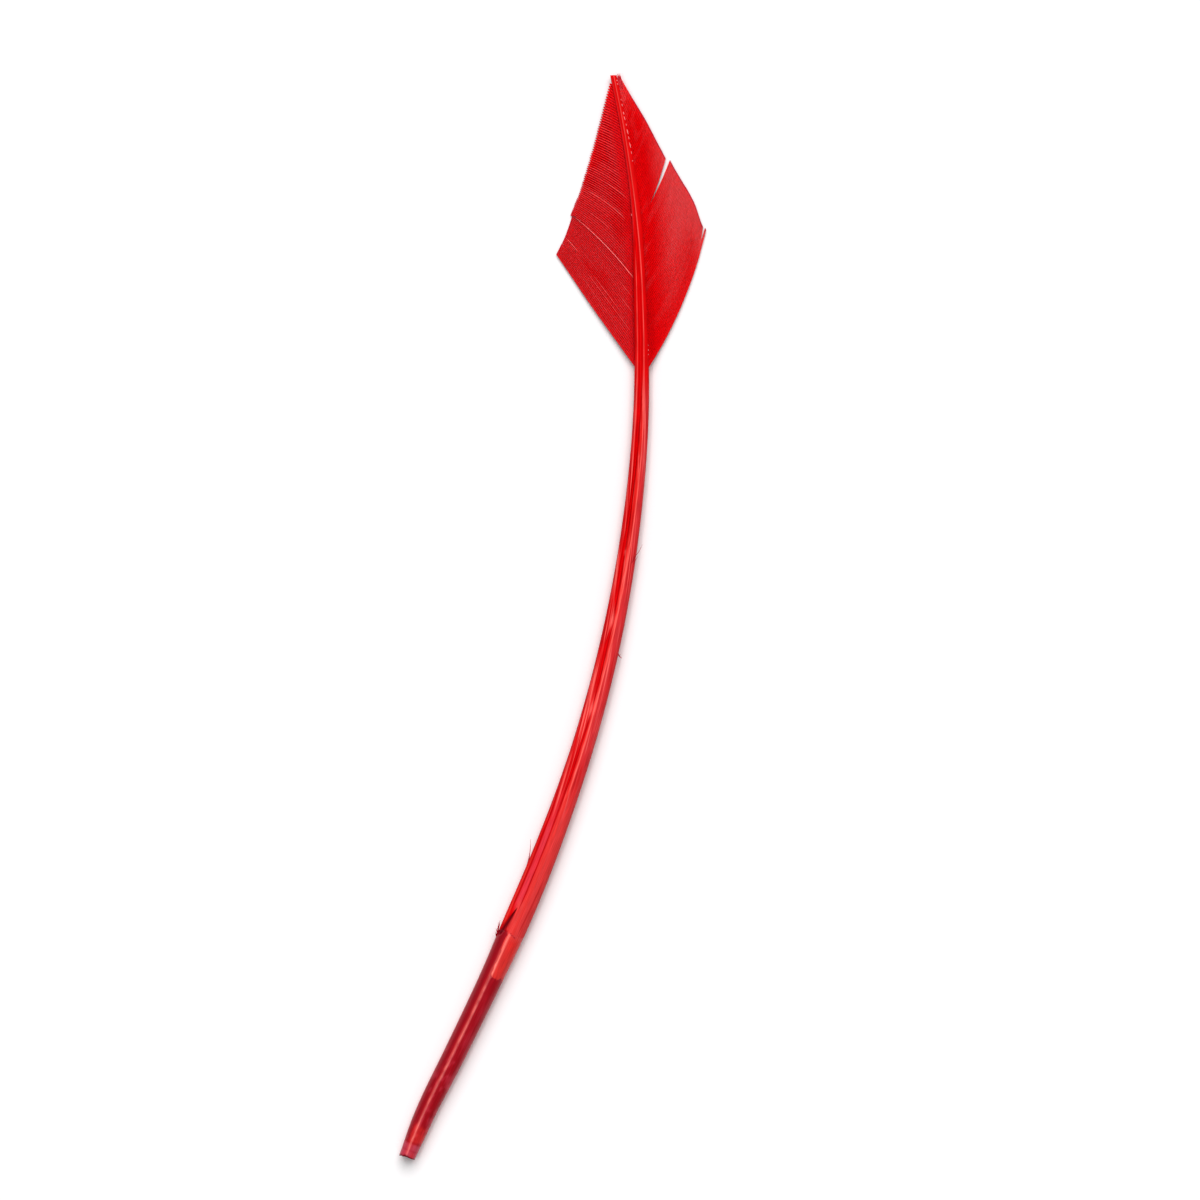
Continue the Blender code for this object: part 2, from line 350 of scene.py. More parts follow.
def sheath_share(s, x):
    """Where the sheath still covers the quill: 1 on it, 0 off it."""
    lower = SHEATH[0] + 0.5 * grain(x * 4, 0, 11) + 4 * np.clip(0.25 - x, 0, 1) ** 2
    left = SHEATH_LEFT - 0.1 * ease(58, 65, s) + 0.05 * grain(s / 1.3, 0, 12)
    upper = sheath_top(x)
    return stretch(s, (lower, lower + 0.3), (upper, upper + 0.3)) * ease(left, left + 0.06, x)


def pit_share(s, x):
    """The narrow slanting pit at the top of the quill."""
    t = (s - PIT_START[0]) / (PIT_END[0] - PIT_START[0])
    middle = PIT_START[1] + (PIT_END[1] - PIT_START[1]) * np.clip(t, 0, 1) ** 0.8
    wide = PIT_WIDE * np.clip(4 * t * (1 - t), 0, 1) ** 0.8 * (1.1 - t) + 0.01
    uneven = 1 + 0.2 * grain(s / 0.8, 0, 14)
    return hump(x, middle, wide * uneven) * stretch(t, (0, 0.12), (0.85, 1))


def streaks(s, x, lean=0.0):
    """Fine lines that run along the shaft, or at a small lean across it, between -1 and 1."""
    across = x * smooth(WIDTH, s) / 2 + lean * s
    return 0.6 * grain(across / 0.27, s / 14, 22) + 0.4 * grain(across / 0.17, s / 8, 23)


def stripped_share(s, x):
    """The streaked band left of the groove, where the barbs were torn away."""
    start = -0.93 + 0.03 * grain(s / 7, 0, 24)
    narrow = 0.16 * ease(176, 222, s)
    end = smooth(GROOVE_PLACE, s) - 1.1 * smooth(GROOVE_REACH, s) - narrow
    return band(x, start, end, 0.035) * stretch(s, *STRIPPED)


def relief(s, x):
    """How far the upper side stands above its plain rounded form."""
    groove = np.maximum(smooth(GROOVE_DEPTH, s), 0)
    groove = groove * hump(x, smooth(GROOVE_PLACE, s), smooth(GROOVE_REACH, s))
    ridges = hump(x, smooth(LEFT_RIDGE, s), RIDGE_REACH) + hump(x, smooth(RIGHT_RIDGE, s), RIDGE_REACH)
    floor = FLOOR_DEPTH * band(x, *FLOOR_EDGES, FLOOR_SOFT) * stretch(s, *SUNKEN_FLOOR)
    stripped = stripped_share(s, x)
    torn = 0.03 * grain(s / 3.1, x * 3, 25) + 0.02 * grain(s / 1.2, x * 5, 26)
    quill = (0.02 * grain(s / 1.6, x * 2, 27) * fade(14, 30, s)
             + 0.006 * grain(s / 4.2, x * 2.5, 28) * fade(60, 68, s))
    return (smooth(RIDGE_HEIGHT, s) * ridges - groove - floor - PIT_DEPTH * pit_share(s, x)
            + 0.012 * ease(70, 80, s) * streaks(s, x) + 0.05 * stripped * streaks(s, x, BARB_LEAN)
            + SHEATH_THICKNESS * sheath_share(s, x) + torn * ease(60, 90, s) + quill)


def flank_dye(dye, s, x):
    """The flank right of the groove, pale near the quill and pink beyond the ridge, partly its own paler
    dye and partly painted sheen, with fine lines beside the groove.
    """
    fine = streaks(s, x, FLANK_LEAN)
    bare = stretch(s, *BARE)
    groove_at = smooth(GROOVE_PLACE, s)
    start = smooth(RIGHT_RIDGE, s) + 0.03
    dye = dye_over(dye, ORANGE, 0.5 * bare * ease(groove_at + 0.1, groove_at + 0.2, x))
    # Pink beyond the right ridge: partly paler dye, partly painted sheen
    dye = dye_over(dye, PINK, bare * ease(start, start + 0.12, x) * (0.75 + 0.5 * fine))
    dye = dye_over(dye, SALMON, 0.6 * stretch(s, *PALE_START) * ease(-0.25, -0.1, x))
    beside = band(x, groove_at + 0.12, start + 0.3, 0.08) * stretch(s, *LINED)
    dye = dye_over(dye, LIGHT, 0.75 * beside * ease(0.1, 0.5, fine))
    dye = dye_over(dye, DEEP, 0.55 * beside * ease(0.1, 0.5, -fine))
    outer = ease(start + 0.1, start + 0.3, x) * ease(98, 130, s) * bare
    dye = dye_over(dye, LIGHT, 0.4 * outer * ease(0.2, 0.6, fine))
    dye = dye_over(dye, DEEP, 0.35 * outer * ease(0.2, 0.6, -fine))
    crease = 0.5 + 0.16 * ease(66, 84, s)
    return dye_over(dye, DEEP, 0.5 * stretch(s, *CREASE) * hump(x, crease, 0.05))


def stripped_dye(dye, s, x):
    """The streaked band where the barbs were torn away, with its dark outer rim."""
    fine = streaks(s, x, BARB_LEAN)
    stripped = stripped_share(s, x)
    dye = dye_over(dye, SALMON, stripped * (0.5 + 1.1 * fine + 0.25 * patches(s, x)))
    dye = dye_over(dye, LIGHT, 0.9 * stripped * ease(0.1, 0.5, fine))
    dye = dye_over(dye, DEEP, 0.5 * stripped * ease(0.15, 0.55, -fine))
    return dye_over(dye, DEEP, 0.6 * stretch(s, *OUTER_RIM) * ease(0.93, 0.98, -x))


def groove_dye(dye, s, x):
    """The bright groove with its crisp dark side, which is painted shade on its wall, and the scars
    beside it.
    """
    groove_at = smooth(GROOVE_PLACE, s)
    groove_reach = smooth(GROOVE_REACH, s)
    dye = dye_over(dye, BRIGHT, stretch(s, *GROOVE_BRIGHT) * hump(x, groove_at, groove_reach))
    edge = groove_at + groove_reach * 1.05
    # Painted shade: the dark line along the groove's wall
    dye = dye_over(dye, DEEP, stretch(s, *GROOVE_EDGE) * hump(x, edge, 0.035))
    scars = [strong * hump(s, along, long) * hump(x, across, wide)
             for along, across, long, wide, strong in SCARS]
    return dye_over(dye, LIGHT, sum(scars))


def ridge_dye(dye, s, x):
    """The two thin pale lines along the ridges, partly their thinner dye and partly painted highlights,
    and an orange painted highlight beside the right ridge near the tip.
    """
    # How strongly the pale ridge lines show, place by place
    ridge_patchiness = 0.78 + 0.22 * grain(s / 5, 0, 32)
    right = hump(x, smooth(RIGHT_RIDGE, s), 0.07 + 0.04 * ease(240, 280, s)) * ease(104, 114, s)
    left = hump(x, smooth(LEFT_RIDGE, s), 0.065) * stretch(s, *LEFT_RIDGE_LINE)
    dye = dye_over(dye, LIGHT, (1.05 * right + 0.9 * left) * ridge_patchiness)
    # A painted highlight beside the right ridge near the tip
    beside = smooth(RIGHT_RIDGE, s) + 0.08
    dye = dye_over(dye, ORANGE, 0.6 * stretch(s, *TIP_LINE) * hump(x, beside, 0.12))
    return dye_over(dye, PINK, 0.5 * ease(255, 264, s) * band(x, -1.1, -0.72, 0.06))


def near_quill_dye(dye, s, x):
    """The mauve floor near the quill, between an orange line and a dark one."""
    near = stretch(s, *MAUVE_FLOOR)
    floor = band(x, *FLOOR_EDGES, FLOOR_SOFT) * (0.75 + 0.25 * patches(s, x))
    dye = dye_over(dye, FLESH, near * floor)
    beside_pit = band(s, 65.6, 76, 1.2) * stretch(x, (-0.6, -0.4), (-0.1, 0.1))
    dye = dye_over(dye, SALMON, 0.75 * beside_pit)
    dye = dye_over(dye, ORANGE, hump(x, -0.83, 0.07) * stretch(s, *ORANGE_LINE))
    return dye_over(dye, DEEP, near * (0.8 * hump(x, -0.74, 0.05) + 0.8 * hump(x, -0.22, 0.035)))


def quill_dye(dye, s, x):
    """The crimson quill with its pale cut end and what is left of its sheath, with painted highlights on
    both.
    """
    fine = streaks(s, x)
    mottle = patches(s, x)
    quill_end = 66.5 + 1.4 * grain(x * 3, 0, 33) - 5 * np.clip(x + 0.5, 0, 1)
    quill = fade(quill_end - 0.8, quill_end + 0.4, s)
    dye = dye_over(dye, CRIMSON, quill)
    dye = dye_over(dye, MAUVE, quill * 0.3 * ease(-0.2, 0.9, mottle + 0.5 * fine) * ease(-0.4, 0.3, x))
    specks = ease(0.15, 0.75, grain(s / 1.3, x * 3.5, 37)) * fade(24, 44, s)
    dye = dye_over(dye, MAUVE, quill * 0.35 * specks)
    dye = dye_over(dye, DARK, 0.3 * quill * ease(0.3, 0.6, -x))
    sheath = sheath_share(s, x)
    dye = dye_over(dye, SHEATH_DYE, sheath * (0.85 + 0.15 * mottle + 0.15 * fine))
    # A painted highlight along the sheath's left part
    dye = dye_over(dye, PAINTED_GLINT, sheath * hump(x, -0.1, 0.1) * (0.75 + 0.3 * mottle))
    rim = hump(s, sheath_top(x) + 0.4, 0.16) * band(x, -0.1, 0.45, 0.05)
    dye = dye_over(dye, CRIMSON, rim * 0.9)
    end = fade(7.8, 10.0, s + 0.5 * x + 0.6 * mottle)
    end = end * ease(-0.8, -0.35, x)
    dye = dye_over(dye, ORANGE, end * (0.45 + 0.3 * grain(s / 1.1, x, 34)))
    dye = dye_over(dye, WASHED, fade(3.6, 4.4, s) * (0.65 + 0.35 * mottle))
    dye = dye_over(dye, CRIMSON, hump(s, 4.3, 0.35) * 0.6 + hump(s, 2.1, 0.25) * 0.4)
    # A painted highlight: the quill's glint
    glint = hump(x, -0.19, 0.12) * (0.65 + 0.45 * grain(s / 1.4, x * 2, 36)) * fade(60, 65, s)
    dye = dye_over(dye, PAINTED_GLINT, 0.6 * glint)
    return dye_over(dye, DARK, fade(0.1, 0.7, s + 0.3 * grain(x * 3, 0, 35)))


def shaft_dye(s, x, upside):
    """The shaft's colours: crimson at the quill, streaked where the barbs were, bright in the head, with
    painted highlights and painted shade.
    """
    s, x = np.broadcast_arrays(s, x)
    dye = np.broadcast_to(np.array(BRIGHT), (*s.shape, 3))
    dye = flank_dye(dye, s, x)
    dye = stripped_dye(dye, s, x)
    dye = groove_dye(dye, s, x)
    valley = 0.4 * band(x, -0.45, 0.2, 0.08) * fade(245, 256, s)
    dye = dye_over(dye, GLOWING, 0.9 * ease(*HEAD_START, s) * (1 - valley))
    dye = ridge_dye(dye, s, x)
    dye = near_quill_dye(dye, s, x)
    dye = quill_dye(dye, s, x)
    # Painted shade: the pit is painted dark inside its hollow
    dye = dye_over(dye, DARK, pit_share(s, x) * ease(-0.1, 0.3, upside))
    # Painted shade: darker on the shaft's underside and along the edges of both sides
    return dye_over(dye, SHADED, 0.8 * fade(-0.3, 0.35, upside) + 0.25 * ease(0.93, 1.0, np.abs(x)))


def shaft_stations():
    """Distances along the shaft where its section is drawn, closer at the cut end and the sheath."""
    steps = [np.arange(*run, FINE_STEP) for run in FINE_RUNS]
    steps += [np.arange(*run, COARSE_STEP) for run in COARSE_RUNS]
    return np.unique(np.concatenate([*steps, [LENGTH]]).round(3))


def with_hollow(points):
    """The hollow's two rings, one deep in and one at the cut end, and then the shaft's own points."""
    middle = points[0].mean(0)
    mouth = middle + (points[0] - middle) * HOLLOW_SHARE
    deep = mouth + place(HOLLOW_DEPTH, 0, 0) - place(0.0, 0, 0)
    return np.concatenate([deep, mouth, points.reshape(-1, 3)])


def make_shaft(glossy, silky):
    """The quill and the shaft in one mesh, glossy up to the quill's end and silky beyond."""
    upper = np.linspace(0, 180, UPPER_POINTS, endpoint=False)
    lower = np.linspace(180, 360, LOWER_POINTS, endpoint=False)
    angle = np.radians(np.concatenate([upper, lower]))[None, :]
    s = shaft_stations()[:, None]
    power = 2 / smooth(SQUARENESS, s)
    x = bent(np.cos(angle), power)
    out = x * smooth(WIDTH, s) / 2
    rise = bent(np.sin(angle), power) * smooth(DEPTH, s) / 2
    upside = np.sin(angle) + 0 * s
    up = np.maximum(rise + middle_height(s) + relief(s, x) * ease(0.1, 0.5, upside), 0)
    ragged = RAGGED * grain(np.cos(angle) * 3, np.sin(angle) * 3, 41)
    ragged = ragged * np.clip(1 - s / RAGGED_REACH, 0, 1)
    points = place(s + ragged, out, up + underside(s))
    rings, sides = points.shape[:2]
    hollow_dye = np.broadcast_to(np.array(DARK) * HOLLOW_SHADE, (HOLLOW_RINGS * sides, 3))
    dye = np.concatenate([hollow_dye, shaft_dye(s, x, upside).reshape(-1, 3)])
    marks = {"across": np.concatenate([np.zeros(HOLLOW_RINGS * sides), out.ravel()]),
             "along": np.concatenate([np.zeros(HOLLOW_RINGS * sides), (s + 0 * x).ravel()])}
    rings += HOLLOW_RINGS
    faces = tube_faces(rings, sides).tolist() + end_faces(rings, sides)
    piece = as_piece("shaft", with_hollow(points), faces, glossy, dye, marks)
    piece.data.materials.append(silky)
    ring_of_face = np.arange(len(faces)) // sides
    beyond = ring_of_face > HOLLOW_RINGS + np.searchsorted(s[:, 0], GLOSS_END)
    # The last two faces close the hollow's floor and the tip
    beyond[-2:] = (False, True)
    piece.data.polygons.foreach_set("material_index", beyond.astype(np.int32))
    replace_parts(piece, NODE)


# The barbs
LEFT_SECTION = [(-1.0, 0.0), (-0.62, 0.02), (-0.3, 0.1), (-0.1, 0.16), (0.1, 0.16), (0.3, 0.1),
                (0.62, 0.0), (1.08, -0.03), (1.08, -0.07), (0.4, -0.11), (-0.4, -0.11), (-1.0, -0.05)]
RIGHT_SECTION = [(-1.0, 0.0), (-0.62, 0.015), (-0.3, 0.035), (-0.1, 0.05), (0.12, 0.05), (0.4, 0.035),
                 (0.7, 0.01), (1.1, -0.03), (1.1, -0.07), (0.4, -0.12), (-0.4, -0.12), (-1.0, -0.05)]
# Where a barb's sections are, from 0 at its root to 1 at its tip
BARB_SECTIONS = [*np.linspace(0, 0.955, 32), 0.97, 0.982, 0.992, 1.0]
# How much single barbs stand off the sheet, and how much the whole sheet waves
UNEVEN = 0.04
WAVE = 0.12
# How much the tips stand apart as a comb, from the lowest barb to the highest
LEFT_COMBED = [(0, 0), (0.3, 0.05), (0.5, 0.9), (1, 0.9)]
RIGHT_COMBED = [(0, 0.1), (0.8, 0.15), (1, 0.4)]
# Splits: which barb one follows, where out it starts, its width at the edge, its reach sideways
LEFT_SPLITS = [(0.1, 0.85, 0.12, 0.02)]
RIGHT_SPLITS = [(0.025, 0.9, 0.8, 0.02), (0.51, 0.3, 1.3, 0.1)]
# Cracks: which barb one follows, where out it starts and ends, how far its edge is raised and how strong
# its painted highlight and painted shade are
LEFT_CRACKS = [(0.318, 0.08, 1.0, 1.0), (0.5, 0.25, 0.9, 0.4), (0.59, 0.2, 0.6, 0.3),
               (0.155, 0.86, 1.0, 1.0), (0.14, 0.84, 0.97, 0.3), (0.19, 0.12, 0.3, 0.35),
               (0.235, 0.12, 0.3, 0.3), (0.27, 0.3, 0.7, 0.2), (0.13, 0.3, 0.62, 0.3),
               (0.105, 0.15, 0.7, 0.25), (0.06, 0.35, 0.8, 0.2), (0.4, 0.5, 0.8, 0.2)]
CRACK_RISE = 0.12
# The left edge has a step after this share of its barbs: this much either way, over this share of them
JOG = 0.32
JOG_SIZE = 0.3
JOG_REACH = 0.12
# How far out from the axis each vane's plain foot goes over into its pattern
LEFT_FOOT = (2.4, 4.2)
RIGHT_FOOT = (1.8, 3.2)
# Taper is the length over which a tip narrows, shoulder how high the vane's foot stands on the shaft
LEFT_VANE = {"side": -1, "count": 92, "roots": LEFT_ROOTS, "tips": LEFT_TIPS, "edge": LEFT_EDGE,
             "bow": LEFT_BARB_BOW, "section": LEFT_SECTION, "taper": 0.6, "combed": LEFT_COMBED,
             "uneven_tips": 0.005, "splits": LEFT_SPLITS, "shoulder": 0.0, "seed": 51}
RIGHT_VANE = {"side": 1, "count": 96, "roots": RIGHT_ROOTS, "tips": RIGHT_TIPS, "edge": RIGHT_EDGE,
              "bow": RIGHT_BARB_BOW, "section": RIGHT_SECTION, "taper": 0.4, "combed": RIGHT_COMBED,
              "uneven_tips": 0.002, "splits": RIGHT_SPLITS, "shoulder": 0.3, "seed": 61}


def barb_line(t, w, roots, tips, edge, bow):
    """Where barb t, from 0 at the lowest to 1 at the highest, is at w from its root to its tip."""
    tip_s = tips[0] + (tips[1] - tips[0]) * (t + TIP_BUNCHING * t * (1 - t))
    tip_out = smooth(edge, tip_s)
    root_s = roots[0] + (roots[1] - roots[0]) * t
    root_out = ROOT_OUT * smooth(WIDTH, root_s)
    along = tip_s - root_s
    across = tip_out - root_out
    size = np.hypot(along, across)
    swing = smooth(bow, t) * 4 * w * (1 - w) / size
    return root_s + along * w - across * swing, root_out + across * w + along * swing, size


def vane_height(s, out, shoulder):
    """The height of a vane's middle, seated on the shaft's side and falling away from it."""
    seat = underside(s) + VANE_SEAT * smooth(DEPTH, s)
    half = smooth(WIDTH, s) / 2
    lift = shoulder * smooth(DEPTH, s) * hump(out, half * 0.9, half * 0.9)
    return seat + lift - DROOP * (1 - np.exp(-np.maximum(out, 0) / DROOP_REACH))


class Vane:
    """One vane's barbs: closed strips with raised spines that together make a sheet."""

    def __init__(self, side, count, roots, tips, edge, bow, section, taper, combed, uneven_tips,
                 splits, shoulder, seed):
        draw = np.random.default_rng(seed)
        q, h = np.array(section).T
        self.side = side
        self.q = q
        self.t = ((np.arange(count) + 0.5) / count)[:, None, None]
        self.w = np.array(BARB_SECTIONS)[None, :, None]
        self.each = draw.uniform(0, 1, (count, 1, 1))
        self.count = count
        route = (roots, tips, edge, bow)
        w = self.w * (1 + uneven_tips * smooth(combed, self.t) * draw.uniform(-1, 1, (count, 1, 1)))
        t = np.clip(self.t + 0.5 * q / count, 0, 1)
        s, out, size = barb_line(t, w, *route)
        s_mid, out_mid, _ = barb_line(self.t, w, *route)
        pointed = np.clip(size * (1 - self.w) / taper, 0.2, 1) ** 0.6
        narrow = 1 - (1 - pointed) * smooth(combed, self.t)
        s = s_mid + (s - s_mid) * narrow
        out = out_mid + (out - out_mid) * narrow
        self.s = s
        self.out = out
        self.length = size
        for split in splits:
            self.part(*split)
        swell = ease(0.02, 0.2, self.w) * (1 - 0.4 * ease(0.9, 1.0, self.w)) * narrow
        uneven = UNEVEN * (self.each - 0.5) * ease(0.1, 0.4, self.w)
        wave = WAVE * grain(self.t * 8, self.w * 2, seed + 1) * ease(0.1, 0.6, self.w)
        self.up = vane_height(self.s, self.out, shoulder) + h * swell + uneven + wave
        self.spine = np.clip(1 - np.abs(q) / 0.5, 0, 1) * (h > 0) + 0 * s

    def part(self, where, start, mouth, reach):
        """Moves the barbs on both sides of a split away from it."""
        where = round(where * self.count) / self.count
        push = np.sign(self.t - where) * np.exp(-np.abs(self.t - where) / reach)
        push = push * mouth / 2 * np.clip((self.w - start) / (1 - start), 0, 1) ** 1.1
        self.s = self.s + push * SPLIT_ALONG
        self.out = self.out - push * SPLIT_OUT

    def near(self, where, start, end):
        """The barbs just below and just above a crack, over its length."""
        where = round(where * self.count) / self.count
        run = stretch(self.w, (start - 0.06, start + 0.06), (end - 0.1, end + 0.02)) + 0 * self.s
        step = (self.t - where) * self.count
        return band(step, -0.75, -0.25, 0.1) * run, band(step, 0.25, 0.75, 0.1) * run

    def rim(self, thin, wide):
        """Where the painted shade of the dark rim along the barbs' tips lies, ending short of the
        feather's own tip.
        """
        return fade(thin, wide, self.length * (1 - self.w)) * fade(0.85, 0.95, self.t)

    def make(self, name, dye, material):
        """One mesh of all the vane's barbs."""
        points = place(self.s, self.side * self.out, self.up)
        barbs, rings, sides = points.shape[:3]
        faces = []
        for barb in range(barbs):
            first = barb * rings * sides
            quads = tube_faces(rings, sides, first).tolist() + end_faces(rings, sides, first)
            faces.extend([face[::-1] for face in quads] if self.side < 0 else quads)
        marks = {"across": self.t * self.count + 0.5 * self.q + 0 * self.s, "along": self.w * self.length}
        piece = as_piece(name, points, faces, material, dye, marks)
        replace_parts(piece, NODE)


def make_left_vane(material):
    """The wider vane: light barbs with painted shade in the furrows between them, cracks with a painted
    highlight and painted shade, a rim of painted shade and a stepped edge.
    """
    vane = Vane(**LEFT_VANE)
    jog = np.sign(vane.t - JOG) * np.clip(1 - np.abs(vane.t - JOG) / JOG_REACH, 0, 1)
    vane.out = vane.out + JOG_SIZE * jog * ease(0.6, 1, vane.w)
    patch = grain(vane.t * 7, vane.w * 3, 52) + 0.5 * grain(vane.t * 22, vane.w * 6, 53)
    strong = np.clip(0.75 + 0.45 * patch, 0.15, 1) * ease(*LEFT_FOOT, vane.out)
    strong = strong * (0.45 + 0.55 * ease(0.3, 0.6, vane.t))
    line = 0.37 + (vane.spine - 0.33) * strong
    line = line + 0.25 * (vane.each - 0.5) * strong
    # The base colour is the painted shade of the furrows; the barbs' spines are laid over it
    dye = np.broadcast_to(np.array(FURROW_SHADE), (*vane.s.shape, 3))
    dye = dye_over(dye, BARB, line)
    dye = dye_over(dye, FOOT, 0.85 * fade(*LEFT_FOOT, vane.out))
    # Painted shade along the barbs' tips
    dye = dye_over(dye, RIM_SHADE, 0.55 * vane.rim(0.1, 0.45))
    dye = dye_over(dye, BRIGHT, 0.5 * ease(0.2, 0.9, patch) * fade(0.6, 1.0, vane.t))
    for where, start, end, light in LEFT_CRACKS:
        below, above = vane.near(where, start, end)
        vane.up = vane.up + CRACK_RISE * light * below
        # The raised barb's edge gets a painted highlight, the barb above it painted shade
        dye = dye_over(dye, CRACK_GLINT, light * below * np.clip((vane.q + 0.6) / 0.8, 0, 1))
        dye = dye_over(dye, CRACK_SHADE, 0.8 * light * above * (vane.q < 0))
    vane.make("left_vane", dye, material)


def make_right_vane(material):
    """The narrower vane: smooth and silky, with a painted sheen, painted light at its foot, a bruise,
    pale torn tips in painted sheen and a rim of painted shade.
    """
    vane = Vane(**RIGHT_VANE)
    streak = grain(vane.t * 60 + 0.3 * vane.q, vane.w * 2.5, 62)
    streak = streak + 0.5 * grain(vane.t * 21, vane.w * 4, 63)
    # Where the painted sheen lies: outwards from the shaft and towards the edge
    middle = 0.3 + 0.7 * ease(0.02, 0.3, vane.t) * (1 - 0.45 * ease(0.62, 0.85, vane.t))
    sheen = ease(3.5, 10.0, vane.out) * middle + 0.5 * ease(0.72, 0.95, vane.w) * (1 - middle)
    sheen = sheen + 0.6 * ease(0.7, 1.0, vane.w) * fade(0.3, 0.6, vane.t)
    sheen = sheen * (0.85 + 0.18 * streak)
    dye = np.broadcast_to(np.array(SILK), (*vane.s.shape, 3))
    foot = fade(*RIGHT_FOOT, vane.out)
    # Painted light that lifts the shade at the vane's foot beside the shaft
    dye = dye_over(dye, FOOT_LIGHT, foot * fade(0.5, 0.75, vane.t))
    dye = dye_over(dye, SHEEN, sheen)
    dye = dye_over(dye, STREAK, 0.35 * ease(0.1, 0.9, streak) * (1 - sheen))
    torn = 0.35 + 0.65 * vane.each + 0.2 * grain(vane.t * 96, vane.w * 3, 65)
    # Painted sheen on the torn tips near the feather's tip
    dye = dye_over(dye, SHEEN, ease(0.86, 0.92, vane.t) * torn)
    spots = ease(0.1, 0.8, grain(vane.t * 30, vane.w * 26, 64))
    dye = dye_over(dye, DEEP, 0.5 * hump(vane.w, 0.8, 0.12) * hump(vane.t, 0.14, 0.07) * spots)
    # Painted shade along the barbs' tips
    dye = dye_over(dye, RIM_SHADE, 0.8 * vane.rim(0.15, 0.5))
    vane.make("right_vane", dye, material)


# Hairs and flecks of pith
HAIR_SIDES = 6
HAIR_STEPS = 16
# How thick a hair's tip is, as a share of its root
HAIR_TIP = 0.2
# Stray hairs: the points they pass as (distance along the shaft, out, up), and how thick they start
HAIRS = [([(171.8, 1.6, 4.6), (173.6, 2.2, 4.6), (175.2, 3.1, 4.6), (177.2, 3.7, 5.0)], 0.2),
         ([(171.4, 2.2, 4.0), (172.6, 2.5, 4.1), (174.0, 3.0, 4.2)], 0.2),
         ([(149.0, 2.3, 3.6), (147.4, 2.6, 3.4), (146.7, 3.2, 3.3), (146.3, 3.9, 3.4)], 0.5),
         ([(147.8, 2.4, 3.3), (146.9, 2.9, 3.1), (147.2, 3.4, 3.2)], 0.3),
         ([(84.5, -3.2, 3.6), (87.5, -3.6, 3.6), (89.6, -4.1, 3.9), (92.4, -5.0, 4.5)], 0.26),
         ([(85.6, -3.2, 3.2), (87.4, -3.5, 3.3), (88.8, -3.9, 3.6)], 0.2)]
# The tuft of torn barbs at the quill's end: its first root as (along, out, up), and the step to the next
TUFT_BARBS = 7
TUFT_ROOT = (63.4, -3.25, 3.0)
TUFT_STEP = (0.32, -0.05, 0.18)
TUFT_THICK = 0.34
# The barbs torn off at the tip, side by side: each one's root and top are drawn between these limits,
# as distances from the shaft's end
FRAYS = 8
FRAY_OUT = 0.8
FRAY_STEP = 0.14
FRAY_ROOTS = (-4.5, -1.5)
FRAY_TOPS = (0.2, 0.9)
FRAY_THICK = 0.26
FRAY_SEED = 7
# The flecks of pith: (distance along the shaft, out from its axis, half length)
FLECKS = [(302.6, 0.67, 0.22), (301.6, 0.6, 0.25), (297.3, 0.67, 0.25), (295.8, 0.65, 0.4),
          (293.6, 0.6, 0.4), (292.2, 0.6, 0.6), (290.4, 0.72, 0.36), (288.5, 0.74, 0.75),
          (286.8, 0.78, 0.45), (284.8, 0.78, 0.8), (282.8, 0.8, 0.4), (280.5, 0.7, 0.2),
          (266.0, -1.28, 0.35), (230.6, 1.8, 0.12), (229.3, 1.8, 0.2), (228.1, 1.8, 0.15)]
FLECK_WIDTHS = (0.12, 0.2)
FLECK_HEIGHTS = (0.08, 0.14)
FLECK_ROUGH = 0.3
# A fleck leans out by this share of its length, and its rings stop this angle short of its poles
FLECK_LEAN = 0.1
FLECK_POLE = 0.1
FLECK_RINGS = 10
FLECK_SIDES = 10
FLECK_SEED = 5


def hair(route, thick):
    """A tapering round hair through a few (s, out, up) points."""
    knots = np.array(route, float)
    ways = np.linspace(0, len(route) - 1, HAIR_STEPS)
    line = [smooth(list(enumerate(knots[:, k])), ways) for k in range(3)]
    middle = place(*line)
    run = np.gradient(middle, axis=0)
    run /= np.linalg.norm(run, axis=1, keepdims=True)
    across = np.cross(run, (0.0, 0.0, 1.0))
    across /= np.linalg.norm(across, axis=1, keepdims=True)
    over = np.cross(across, run)
    turn = np.linspace(0, 2 * math.pi, HAIR_SIDES, endpoint=False)[None, :, None]
    size = (thick / 2 * MM * np.linspace(1, HAIR_TIP, HAIR_STEPS))[:, None, None]
    return middle[:, None] + (across[:, None] * np.cos(turn) + over[:, None] * np.sin(turn)) * size


def join_tubes(name, tubes, material):
    """Several closed tubes, each an array of rings, as one piece."""
    faces = []
    first = 0
    for tube in tubes:
        rings, sides = tube.shape[:2]
        faces += tube_faces(rings, sides, first).tolist() + end_faces(rings, sides, first)
        first += rings * sides
    return as_piece(name, np.concatenate([tube.reshape(-1, 3) for tube in tubes]), faces, material)


def make_hairs(material):
    """The few hairs and torn barbs that stripping left standing off the shaft."""
    hairs = [hair(route, thick) for route, thick in HAIRS]
    for k in range(TUFT_BARBS):
        root, side, high = np.array(TUFT_ROOT) + k * np.array(TUFT_STEP)
        reach = 1.5 + 0.9 * math.sin(k * 2.1)
        route = [(root, side + 0.15, high), (root + reach * 0.8, side - 0.25, high + 0.3),
                 (root + reach * 1.8, side - 0.55 - 0.06 * k, high + 0.6)]
        hairs.append(hair(route, TUFT_THICK))
    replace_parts(join_tubes("stray_hairs", hairs, material), NODE)


